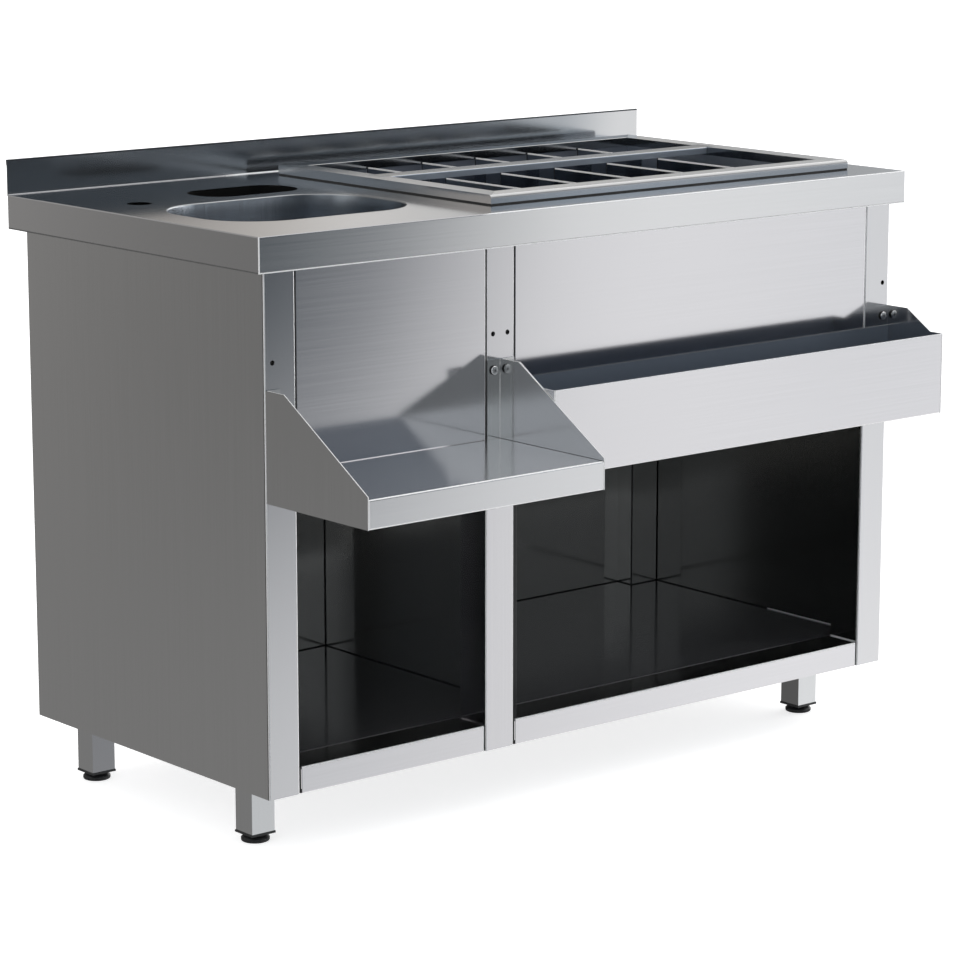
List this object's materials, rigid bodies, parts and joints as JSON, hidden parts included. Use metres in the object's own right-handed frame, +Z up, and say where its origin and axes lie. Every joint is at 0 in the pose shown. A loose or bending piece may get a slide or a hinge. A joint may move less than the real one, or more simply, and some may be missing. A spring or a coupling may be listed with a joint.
{
  "type": "bar station",
  "caption": "Stainless bar station: worktop with sink, waste chute and divided ice well, hanging side shelf and bottle rack, open bays below, adjustable feet.",
  "frame": {"origin": "on the ground, under the middle of the bounding box of the whole station, with the side shelf at the front counted in", "axes": "+X to the right along the front, +Y to the back, +Z up"},
  "size_m": [1.2, 0.802, 0.9],
  "materials": {
    "worktop_steel": "satin brushed stainless sheet, polished along its folded edges",
    "cabinet_steel": "satin brushed stainless sheet",
    "inner_steel": "bright mill finish stainless sheet",
    "bowl_steel": "pressed stainless, polished on the lip",
    "well_steel": "satin stainless",
    "divider_steel": "satin stainless with bright cut edges",
    "polished_steel": "polished stainless",
    "leg_steel": "satin stainless tube",
    "zinc": "zinc plated",
    "rubber": "black seal rubber",
    "black_plastic": "black moulded plastic",
    "foam": "rigid cream foam"
  },
  "bodies": {
    "cabinet": {"worktop": "worktop_steel", "worktop_stiffeners": "inner_steel", "sink_bowl": "bowl_steel", "sink_waste": "polished_steel", "waste_washer": "rubber", "waste_nut": "black_plastic", "waste_chute": "rubber", "well_rim": "worktop_steel", "well_seal": "rubber", "well_liner": "well_steel", "well_insulation": "foam", "well_casing": "inner_steel", "well_drain": "well_steel", "perforated_floor": "well_steel", "side_panel_left": "cabinet_steel", "side_panel_right": "cabinet_steel", "middle_post": "cabinet_steel", "partition": "inner_steel", "back_panel": "inner_steel", "front_panel_left": "cabinet_steel", "front_panel_right": "cabinet_steel", "bottom_rail_left": "cabinet_steel", "bottom_rail_right": "cabinet_steel", "rear_rail": "inner_steel", "floor_panel": "inner_steel", "rear_post_left": "inner_steel", "rear_post_centre": "inner_steel", "rear_post_right": "inner_steel", "side_shelf": "cabinet_steel", "shelf_end_left": "cabinet_steel", "shelf_end_right": "cabinet_steel", "bottle_rack": "cabinet_steel", "rack_end_left": "cabinet_steel", "rack_end_right": "cabinet_steel", "bracket_screws": "polished_steel", "bracket_nuts": "zinc", "leg_front_left": "leg_steel", "leg_front_right": "leg_steel", "leg_rear_left": "leg_steel", "leg_rear_right": "leg_steel", "leg_caps": "black_plastic"},
    "crossbar": {"crossbar": "worktop_steel"},
    "waste_strainer": {"waste_strainer": "polished_steel"},
    "rear_divider_1": {"rear_divider_1": "divider_steel"},
    "rear_divider_2": {"rear_divider_2": "divider_steel"},
    "rear_divider_3": {"rear_divider_3": "divider_steel"},
    "rear_divider_4": {"rear_divider_4": "divider_steel"},
    "rear_divider_5": {"rear_divider_5": "divider_steel"},
    "front_divider_1": {"front_divider_1": "divider_steel"},
    "front_divider_2": {"front_divider_2": "divider_steel"},
    "front_divider_3": {"front_divider_3": "divider_steel"},
    "front_divider_4": {"front_divider_4": "divider_steel"},
    "front_divider_5": {"front_divider_5": "divider_steel"},
    "foot_front_left": {"foot_front_left": "black_plastic"},
    "foot_front_right": {"foot_front_right": "black_plastic"},
    "foot_rear_left": {"foot_rear_left": "black_plastic"},
    "foot_rear_right": {"foot_rear_right": "black_plastic"}
  },
  "joints": [
    {"name": "crossbar_lift", "type": "slide", "parent": "cabinet", "child": "crossbar", "axis": [0, 0, 1], "range_m": [0, 0.06]},
    {"name": "strainer_lift", "type": "slide", "parent": "cabinet", "child": "waste_strainer", "axis": [0, 0, 1], "range_m": [0, 0.16]},
    {"name": "rear_divider_1_lift", "type": "slide", "parent": "cabinet", "child": "rear_divider_1", "axis": [0, 0, 1], "range_m": [0, 0.26]},
    {"name": "rear_divider_2_lift", "type": "slide", "parent": "cabinet", "child": "rear_divider_2", "axis": [0, 0, 1], "range_m": [0, 0.26]},
    {"name": "rear_divider_3_lift", "type": "slide", "parent": "cabinet", "child": "rear_divider_3", "axis": [0, 0, 1], "range_m": [0, 0.26]},
    {"name": "rear_divider_4_lift", "type": "slide", "parent": "cabinet", "child": "rear_divider_4", "axis": [0, 0, 1], "range_m": [0, 0.26]},
    {"name": "rear_divider_5_lift", "type": "slide", "parent": "cabinet", "child": "rear_divider_5", "axis": [0, 0, 1], "range_m": [0, 0.26]},
    {"name": "front_divider_1_lift", "type": "slide", "parent": "cabinet", "child": "front_divider_1", "axis": [0, 0, 1], "range_m": [0, 0.26]},
    {"name": "front_divider_2_lift", "type": "slide", "parent": "cabinet", "child": "front_divider_2", "axis": [0, 0, 1], "range_m": [0, 0.26]},
    {"name": "front_divider_3_lift", "type": "slide", "parent": "cabinet", "child": "front_divider_3", "axis": [0, 0, 1], "range_m": [0, 0.26]},
    {"name": "front_divider_4_lift", "type": "slide", "parent": "cabinet", "child": "front_divider_4", "axis": [0, 0, 1], "range_m": [0, 0.26]},
    {"name": "front_divider_5_lift", "type": "slide", "parent": "cabinet", "child": "front_divider_5", "axis": [0, 0, 1], "range_m": [0, 0.26]},
    {"name": "foot_front_left_height", "type": "slide", "parent": "cabinet", "child": "foot_front_left", "axis": [0, 0, -1], "range_m": [0, 0.02]},
    {"name": "foot_front_right_height", "type": "slide", "parent": "cabinet", "child": "foot_front_right", "axis": [0, 0, -1], "range_m": [0, 0.02]},
    {"name": "foot_rear_left_height", "type": "slide", "parent": "cabinet", "child": "foot_rear_left", "axis": [0, 0, -1], "range_m": [0, 0.02]},
    {"name": "foot_rear_right_height", "type": "slide", "parent": "cabinet", "child": "foot_rear_right", "axis": [0, 0, -1], "range_m": [0, 0.02]}
  ]
}
